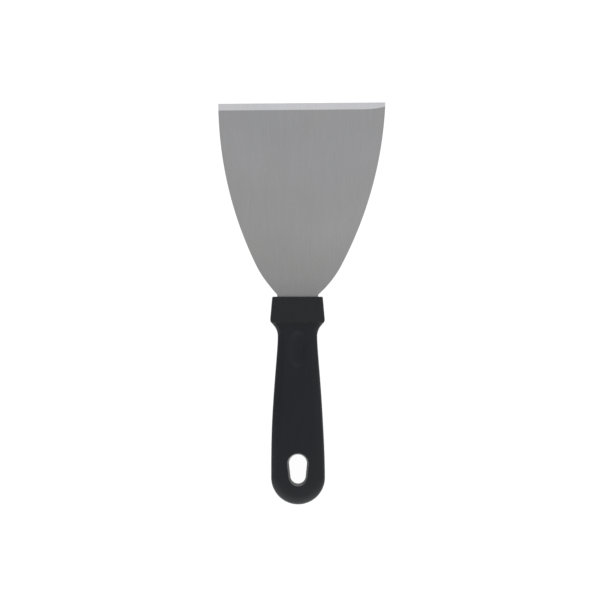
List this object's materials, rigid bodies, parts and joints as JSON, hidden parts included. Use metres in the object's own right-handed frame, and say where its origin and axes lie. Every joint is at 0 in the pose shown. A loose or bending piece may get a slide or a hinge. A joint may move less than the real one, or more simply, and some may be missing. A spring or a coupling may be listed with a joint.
{
  "type": "bench scraper",
  "caption": "Flat hand scraper with a flared thin steel blade, a straight bevelled edge and a black moulded handle with a hang hole.",
  "frame": {"origin": "middle of the guard's flat back face, on the handle's centreline, 7.5 mm behind the guard's mouth", "axes": "+Y from the butt to the cutting edge, +X to the right seen from the bevelled face, +Z out of the bevelled face; the handle's back face lies in the plane z = 0"},
  "size_m": [0.1, 0.2405, 0.016],
  "materials": {
    "blade_steel": "satin, brushed lengthwise, with a brighter ground bevel at the cutting edge",
    "handle_plastic": "black moulded plastic, satin, with softly rounded edges"
  },
  "bodies": {
    "root": {"blade": "blade_steel", "handle": "handle_plastic"}
  },
  "joints": []
}
